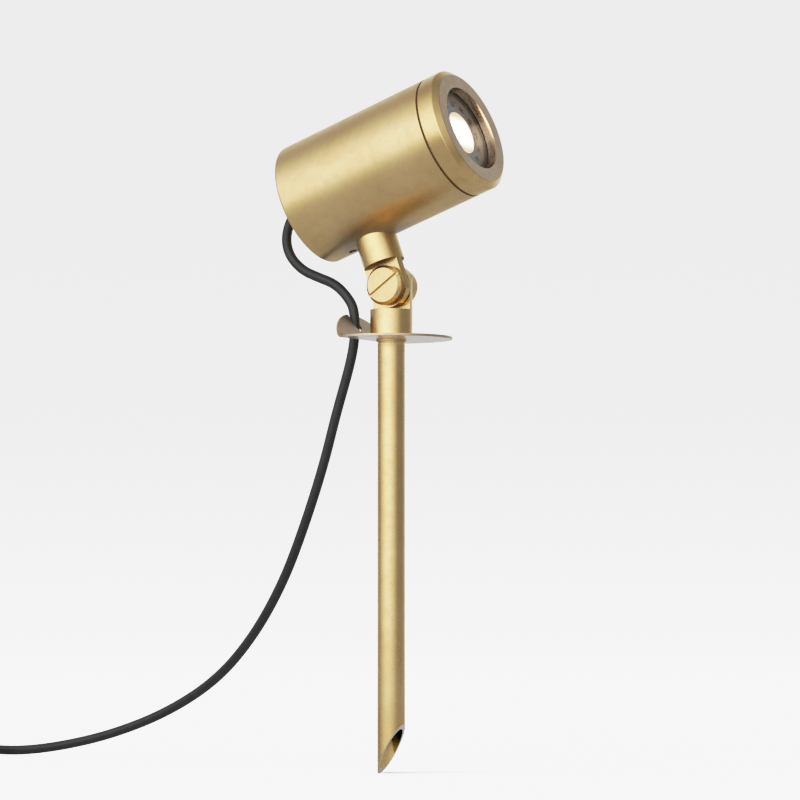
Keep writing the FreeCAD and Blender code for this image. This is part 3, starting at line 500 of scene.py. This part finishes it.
def spikeTube():
    # its bore has a painted shade that darkens further up inside the tube, and the cut face at its tip a pale
    # finish that is a painted highlight
    inner = spike["radius"] - spike["wall"]
    outline = [(-spike["depth"], spike["radius"]), (spike["neckFrom"], spike["radius"]),
               (spike["neckFrom"], spike["neck"]), (spike["top"], spike["neck"]), (spike["top"], inner),
               (-spike["depth"], inner)]
    bm = turned(outline, upright)
    slope = Vector((spike["tipCut"], 0, -2 * spike["radius"])).normalized()
    bmesh.ops.bisect_plane(bm, geom=bm.verts[:] + bm.edges[:] + bm.faces[:], dist=meshing["mergeCut"],
                           plane_co=Vector((-spike["radius"], 0, -spike["depth"])) * mm, plane_no=slope,
                           clear_outer=True)
    bmesh.ops.bridge_loops(bm, edges=[edge for edge in bm.edges if edge.is_boundary])
    bmesh.ops.recalc_face_normals(bm, faces=bm.faces)
    roundEdges(bm, spike["round"])
    finishFaces(bm, 1, lambda face: face.normal.xy.dot(face.calc_center_median().xy.normalized())
                < spike["facesIn"])
    finishFaces(bm, 2, lambda face: face.normal.dot(slope) > spike["facesCut"])
    addPiece("spikeTube", bm, [spikeBrass, spikeBoreBrass, paintedLightBrass], "base", ["spike_tube"])


spikeTube()
addCopy("spikeCollar", "spike_collar", collarPaintedShadeBrass, "base", width=0.2)

disc = {
    "round": 0.25, "lipWay": (0.809, 0, 0.588), "facesLip": 0.8, "bendEnd": -13.5, "rimFrom": 28.6,
    "facesRim": 0.6, "facesDown": 0.9,
}


def groundDisc():
    # the bent lip's inner face and the rim are duller than the top, and the underside is the palest: painted
    # light standing in for the bright floor it reflects
    bm = copyOf("flange_disc", disc["round"])
    lipWay = Vector(disc["lipWay"])
    bendEnd, rimFrom = disc["bendEnd"] * mm, disc["rimFrom"] * mm
    finishFaces(bm, 1, lambda face: face.normal.dot(lipWay) > disc["facesLip"]
                and face.calc_center_median().x < bendEnd)
    finishFaces(bm, 1, lambda face: abs(face.normal.z) < disc["facesRim"]
                and face.calc_center_median().xy.length > rimFrom)
    finishFaces(bm, 2, lambda face: face.normal.z < -disc["facesDown"])
    addPiece("groundDisc", bm, [brass, dullBrass, paintedLightBrass], "base", ["flange_disc"])


groundDisc()

knuckle = {"round": 0.35, "segments": 3, "facesShoulder": 0.95}


def upperKnuckle():
    # painted shade darkens the downward face of the cut shoulder over the tongue
    bm = copyOf("upper_knuckle", knuckle["round"], knuckle["segments"])
    finishFaces(bm, 1, lambda face: face.normal.dot(headDown) > knuckle["facesShoulder"])
    addPiece("upperKnuckle", bm, [brass, shoulderPaintedShadeBrass], "head", ["upper_knuckle"])


addCopy("lowerKnuckle", "lower_knuckle", brass, "base", knuckle["round"], knuckle["segments"])
upperKnuckle()
addCopy("pivotNut", "pivot_nut", brass, "base", width=0.2)
addCopy("frictionWasher", "friction_washer", washerNylon, "base", width=0.1)
addCopy("pivotScrew", "pivot_screw", brass, "clamp_screw", width=0.14)
# the washer under the screw's head is painted as brass in shade
addCopy("screwWasher", "screw_washer", shadowBrass, "clamp_screw", width=0.15)
print("spike, disc and knuckle made")

headShell = {"round": 0.22, "weepHole": (-13.7, 0), "weepReach": 2.3}


def headBody():
    # painted shade darkens the wall of the small weep hole behind the boss
    bm = copyOf("head_body", headShell["round"])
    hole = Vector(headShell["weepHole"]) * mm
    finishFaces(bm, 1, lambda face: (headSpot(face).xy - hole).length < headShell["weepReach"] * mm)
    addPiece("headBody", bm, [headBrass, shadowBrass], "head", ["head_body"])


headBody()

neck = {
    "rear": 45.4, "shoulder": 54.0, "front": 59.4, "fit": 27.58, "bore": 26.2, "ledge": (50.4, 52.9),
    "ledgeBore": 23.5, "threadFrom": 54.15, "pitch": 1.5, "crest": 28.0, "root": 27.45, "crestEnd": 0.45,
    "rootStart": 0.75, "rootEnd": 1.0, "lastTurn": 1.05,
}


def neckRing():
    # the thread's crests are shown as rings
    outline = [(neck["rear"], neck["fit"]), (neck["shoulder"], neck["fit"])]
    x = neck["threadFrom"]
    while x < neck["front"] - neck["lastTurn"]:
        outline += [(x, neck["crest"]), (x + neck["crestEnd"], neck["crest"]),
                    (x + neck["rootStart"], neck["root"]), (x + neck["rootEnd"], neck["root"])]
        x += neck["pitch"]
    ledgeRear, ledgeFront = neck["ledge"]
    outline += [(neck["front"], neck["root"]), (neck["front"], neck["bore"]), (ledgeFront, neck["bore"]),
                (ledgeFront, neck["ledgeBore"]), (ledgeRear, neck["ledgeBore"]), (ledgeRear, neck["bore"]),
                (neck["rear"], neck["bore"])]
    addPiece("threadedNeck", turned(outline, headAxis), brass, "head", ["threaded_neck"])


neckRing()

bezel = {
    "rear": 54.9, "edge": 62.8, "front": 65.4, "radius": 30, "face": 27.1, "opening": 20.5, "seat": 60.6,
    "cavity": 28.05, "round": 0.32, "facesForward": 0.95, "boreReach": 20.6,
}


def bezelRing():
    # the turned front is duller than the outside, and the opening's bore is smoother
    b = bezel
    outline = [(b["rear"], b["radius"]), (b["edge"], b["radius"]), (b["front"], b["face"]),
               (b["front"], b["opening"]), (b["seat"], b["opening"]), (b["seat"], b["cavity"]),
               (b["rear"], b["cavity"])]
    bm = turned(outline, headAxis, meshing["bezelSteps"], width=b["round"], segments=3)
    finishFaces(bm, 1, lambda face: face.normal.dot(headForward) > b["facesForward"])
    finishFaces(bm, 2, lambda face: headSpot(face).yz.length < b["boreReach"] * mm)
    addPiece("bezelRing", bm, [brass, turnedFaceBrass, boreBrass], "bezel", ["bezel_ring"])


bezelRing()
addCopy("bezelORing", "bezel_o_ring", ringRubber, "head", width=0.25, segments=3)

glass = {"rear": 58.6, "front": 60.58, "radius": 26.1, "round": 0.2}
glassOutline = [(glass["rear"], 0), (glass["rear"], glass["radius"]), (glass["front"], glass["radius"]),
                (glass["front"], 0)]
addPiece("frontGlass", turned(glassOutline, headAxis, closed=False, width=glass["round"]), glassFinish,
         "lens_pack", ["lens_glass"])
addCopy("lensGasket", "lens_gasket", blackRubber, "lens_pack", width=0.2)
print("head and bezel made")

lampVents = {"inner": 12.4, "outer": 16.4, "facesForward": 0.3, "round": 0.15}


def lampPlate():
    # painted shade darkens the walls of the vents
    bm = copyOf("lamp_front_plate", lampVents["round"])
    low, high = lampVents["inner"] * mm, lampVents["outer"] * mm
    finishFaces(bm, 1, lambda face: abs(face.normal.dot(headForward)) < lampVents["facesForward"]
                and low < headSpot(face).yz.length < high)
    addPiece("lampFace", bm, [lampFinish, ventPaintedShade], "head", ["lamp_front_plate"])


lampPlate()
# the lamp housing takes the same painted shade as the vents' walls
addCopy("lampHousing", "lamp_housing", ventPaintedShade, "head", width=0.3)
addCopy("lampLens", "lamp_lens", lensFinish, "head")
addCopy("clipRing", "lamp_clip_ring", stainless, "head")
addCopy("glandNut", "gland_nut", glandBrass, "head", width=0.2)
coilTie = addCopy("coilTie", "coil_tie", tieNylon, "base", width=0.3)
print("lamp, gland nut and tie made")

# pieces that the scene keeps from the frame, with only their finishes set
carriedFinishes = {
    "lamp_pins": stainless, "lampholder": ceramic, "holder_screws": stainless, "holder_bracket": stainless,
    "bracket_screws": stainless, "terminal_block": blockPlastic, "terminal_screws": stainless,
    "holder_leads": innerCores, "inner_cores": innerCores, "saddle_washer": stainless, "boss_screw": stainless,
    "gland_body": glandBrass, "gland_seal": blackRubber, "gland_lock_nut": glandBrass,
    "cable_entry": sheathRubber, "tail_cores": tailCores, "core_ferrules": tin,
}
for node, surface in carriedFinishes.items():
    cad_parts[node].data.materials.clear()
    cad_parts[node].data.materials.append(surface)
print("carried pieces finished")

# the cable: a free stretch from the gland to the disc's slot, then down to the ground and its coil
cable = {
    "radius": 2.35, "glandFace": -31.3, "exitRun": 5.1, "split": (-19.95, 0, 7.65), "roundness": 7,
    "upperSteps": 12, "lowerSteps": 8,
    "upper": [(-56.2, 0, 59), (-58.6, 0, 50.4), (-56.2, 0, 42), (-49, 0, 35), (-40.2, 0, 31.3),
              (-31, 0, 27.8), (-24.2, 0, 21.6), (-20, 0, 14.8)],
    "lower": [(-19.9, 0, 0.5), (-23.1, 0.1, -13), (-30.4, 0.6, -33.9), (-38.3, 1.9, -59), (-51, 5, -88.3),
              (-66.2, 10.6, -115.2), (-89, 20.2, -141.5), (-117.8, 32.2, -163.4), (-151.3, 38.9, -180.2),
              (-185, 39.2, -192), (-217, 38.9, -198.9), (-244, 38.8, -202)],
    "tail": [(-311.5, 37.4, -197.3), (-324, 40, -201.8), (-336, 42.6, -202)],
}
coil = {
    "middle": (-288, -1.1), "outer": 40.1, "step": 3.15, "low": -201.15, "high": -195.75, "lowHalfTurns": 8,
    "topHalfTurns": 7, "pointsPerHalf": 7, "runIn": 20.7, "runOut": 13.2, "lead": 4.7,
    "widen": 1.026,  # a spline runs a little inside its control points
}


def nurbsLine(name, points, radius, steps, surface=None):
    data = bpy.data.curves.new(name, "CURVE")
    data.dimensions = "3D"
    data.resolution_u = steps
    data.bevel_depth = radius * mm
    data.bevel_resolution = cable["roundness"]
    data.use_fill_caps = radius > 0
    spline = data.splines.new("NURBS")
    spline.points.add(len(points) - 1)
    for target, point in zip(spline.points, points):
        target.co = (*(Vector(point) * mm), 1)
    spline.order_u = 3
    spline.use_endpoint_u = True
    if surface:
        data.materials.append(surface)
    return linked(name, data)


def pointsAlong(points, steps):
    # the points that a bare spline over these control points gives, and its length
    line = nurbsLine("route", points, 0, steps)
    mesh = bpy.data.meshes.new_from_object(line)
    path = [vertex.co.copy() for vertex in mesh.vertices]
    bpy.data.objects.remove(line)
    bpy.data.meshes.remove(mesh)
    return path, sum((b - a).length for a, b in zip(path, path[1:]))


def coilPoints(turns):
    # half turns that spiral in, climb a layer at the centre and spiral out again on top
    halves = turns["lowHalfTurns"] + 1 + turns["topHalfTurns"]
    points = []
    for index in range(halves * turns["pointsPerHalf"] + 1):
        half = index / turns["pointsPerHalf"]
        inward = min(half, turns["lowHalfTurns"])
        outward = max(half - turns["lowHalfTurns"] - 1, 0)
        radius = (turns["outer"] - turns["step"] * (inward - outward)) * turns["widen"]
        climb = min(max(half - turns["lowHalfTurns"], 0), 1)
        rise = climb * climb * (3 - 2 * climb)
        angle = math.pi / 2 + math.pi * half
        points.append((turns["middle"][0] + radius * math.cos(angle),
                       turns["middle"][1] + radius * math.sin(angle),
                       turns["low"] + (turns["high"] - turns["low"]) * rise))
    return points


def upperCable():
    # a mesh made from the spline, tied to no body
    exitPoint = headAxis @ Vector((cable["glandFace"], 0, 0))
    straight = headAxis @ Vector((cable["glandFace"] - cable["exitRun"], 0, 0))
    points = [exitPoint, straight] + cable["upper"] + [cable["split"]]
    path, length = pointsAlong(points, cable["upperSteps"])
    line = nurbsLine("cableUpperLine", points, cable["radius"], cable["upperSteps"])
    mesh = bpy.data.meshes.new_from_object(line)
    bpy.data.objects.remove(line)
    mesh.name = "cableUpper"
    mesh.materials.clear()
    mesh.materials.append(sheathRubber)
    mesh.shade_smooth()
    piece = linked("cableUpper", mesh)
    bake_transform(piece)
    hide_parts("cable_upper")


def lowerCable():
    turns = coilPoints(coil)
    first, last = Vector(turns[0]), Vector(turns[-1])
    points = [cable["split"]] + cable["lower"]
    points += [first + Vector((coil["runIn"], 0, 0)), first + Vector((coil["lead"], 0, 0))] + turns
    points += [last - Vector((coil["lead"], 0, 0)), last - Vector((coil["runOut"], 0, 0))] + cable["tail"]
    length = pointsAlong(points, cable["lowerSteps"])[1]
    line = nurbsLine("cableLower", points, cable["radius"], cable["lowerSteps"], sheathRubber)
    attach(line, "base")
    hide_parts("cable_lower", "cable_coil", "cable_tail")
    print("cable length", round(length, 3))


upperCable()
lowerCable()
print("cables laid")

floorLook = {
    "level": -204.6, "radius": 3200, "segments": 96, "fade": (900, 2600), "albedo": 0.62, "seenGlow": 1.45,
}
streak = {  # the spike's long faint shadow on the floor
    "toward": (0.761, 0.648, 0), "from": -6, "beyond": 11, "half": 13, "length": 90, "fall": 3, "depth": 0.85,
}


def streakShade(nodes, links, place):
    # fades along its length and to both sides
    along = vectorMath(nodes, links, "DOT_PRODUCT", place, streak["toward"])
    side = vectorMath(nodes, links, "DOT_PRODUCT", place, (-streak["toward"][1], streak["toward"][0], 0))
    side = mathOf(nodes, links, "SUBTRACT", side, streak["beyond"] * mm)
    side = mathOf(nodes, links, "ABSOLUTE", side)
    fall = ranged(nodes, links, along, 1, 0, 0, streak["length"] * mm)
    fall = mathOf(nodes, links, "POWER", fall, streak["fall"])
    width = ranged(nodes, links, side, 1, 0, 0, streak["half"] * mm, True)
    start = ranged(nodes, links, along, 0, streak["depth"], streak["from"] * mm, 0)
    return mathOf(nodes, links, "MULTIPLY", mathOf(nodes, links, "MULTIPLY", width, fall), start)


def makeFloor():
    # brighter to the camera than in the object's reflections, as on an overexposed white sweep
    bm = bmesh.new()
    bmesh.ops.create_circle(bm, cap_ends=True, radius=floorLook["radius"] * mm, segments=floorLook["segments"])
    bmesh.ops.translate(bm, verts=bm.verts, vec=(0, 0, floorLook["level"] * mm))
    mesh = bpy.data.meshes.new("floor")
    bm.to_mesh(mesh)
    bm.free()
    surface = bpy.data.materials.new("paleFloor")
    surface.use_nodes = True
    nodes, links = surface.node_tree.nodes, surface.node_tree.links
    nodes.remove(nodes["Principled BSDF"])
    place = objectPlace(nodes)
    matt = nodes.new("ShaderNodeBsdfDiffuse")
    matt.inputs["Color"].default_value = (*[floorLook["albedo"]] * 3, 1)
    glow = nodes.new("ShaderNodeEmission")
    lit = mathOf(nodes, links, "SUBTRACT", 1, streakShade(nodes, links, place))
    lit = mathOf(nodes, links, "MULTIPLY", lit, floorLook["seenGlow"])
    cameraRay = nodes.new("ShaderNodeLightPath").outputs["Is Camera Ray"]
    links.new(mathOf(nodes, links, "MULTIPLY", cameraRay, lit), glow.inputs["Strength"])
    both = nodes.new("ShaderNodeAddShader")
    links.new(matt.outputs["BSDF"], both.inputs[0])
    links.new(glow.outputs["Emission"], both.inputs[1])
    near, far = (distance * mm for distance in floorLook["fade"])
    fade = ranged(nodes, links, vectorMath(nodes, links, "LENGTH", place), 0, 1, near, far, True)
    through = nodes.new("ShaderNodeBsdfTransparent").outputs["BSDF"]
    mixed = mixedShader(nodes, links, fade, both.outputs["Shader"], through)
    links.new(mixed, nodes["Material Output"].inputs["Surface"])
    mesh.materials.append(surface)
    linked("floor", mesh)


studio = {
    "ambient": 0.29,
    "key": {"toward": (-0.009, -0.92, 0.39), "power": 2, "strength": 2.25},
    "keyTop": (0.45, 0.85), "keyTopShare": 0.5,
    "back": {"toward": (-0.491, 0.871, 0), "power": 3, "strength": 0.85},
    "backdrop": [(0.0, 2.05), (0.20, 1.66), (0.46, 1.36), (1.0, 1.24)], "backdropSpan": (-0.05, 0.155),
    "backdropPeak": 2.5,
}


def lobe(nodes, links, way, light):
    # light that fades around one direction
    toward = vectorMath(nodes, links, "DOT_PRODUCT", way, Vector(light["toward"]).normalized())
    toward = mathOf(nodes, links, "MAXIMUM", toward, 0)
    return mathOf(nodes, links, "MULTIPLY", mathOf(nodes, links, "POWER", toward, light["power"]),
                  light["strength"])


def makeWorld():
    # a pale backdrop for the camera; for the object one broad soft light and a weak one behind
    world = bpy.data.worlds.new("paleStudio")
    bpy.context.scene.world = world
    world.use_nodes = True
    nodes, links = world.node_tree.nodes, world.node_tree.links
    light = nodes["Background"]
    seen = nodes.new("ShaderNodeBackground")
    way = nodes.new("ShaderNodeTexCoord").outputs["Generated"]
    height = heightOf(nodes, links, way)
    top = ranged(nodes, links, height, 1, studio["keyTopShare"], *studio["keyTop"], True)
    total = mathOf(nodes, links, "MULTIPLY", lobe(nodes, links, way, studio["key"]), top)
    total = mathOf(nodes, links, "ADD", total, lobe(nodes, links, way, studio["back"]))
    total = mathOf(nodes, links, "ADD", total, studio["ambient"])
    light.inputs["Color"].default_value = (1, 1, 1, 1)
    links.new(total, light.inputs["Strength"])
    level = ranged(nodes, links, height, 0, 1, *studio["backdropSpan"])
    stops = [(place, [value / studio["backdropPeak"]] * 3) for place, value in studio["backdrop"]]
    links.new(rampOf(nodes, links, level, stops, "LINEAR"), seen.inputs["Color"])
    seen.inputs["Strength"].default_value = studio["backdropPeak"]
    cameraRay = nodes.new("ShaderNodeLightPath").outputs["Is Camera Ray"]
    mixed = mixedShader(nodes, links, cameraRay, light.outputs["Background"], seen.outputs["Background"])
    links.new(mixed, nodes["World Output"].inputs["Surface"])


tone = {
    "white": 3.0, "combinedCurve": 3,
    "points": [(0.0833, 0.25), (0.1667, 0.5), (0.25, 0.65), (0.357, 0.80), (0.5, 0.88), (0.733, 0.95)],
}


def setTone():
    # highlights roll off gently, as in the photograph
    settings = bpy.context.scene.view_settings
    settings.view_transform = "Standard"
    settings.use_curve_mapping = True
    mapping = settings.curve_mapping
    mapping.white_level = [tone["white"]] * 3
    for place, value in tone["points"]:
        mapping.curves[tone["combinedCurve"]].points.new(place, value)
    mapping.update()


makeFloor()
makeWorld()
setTone()
print("floor, light and tone set")
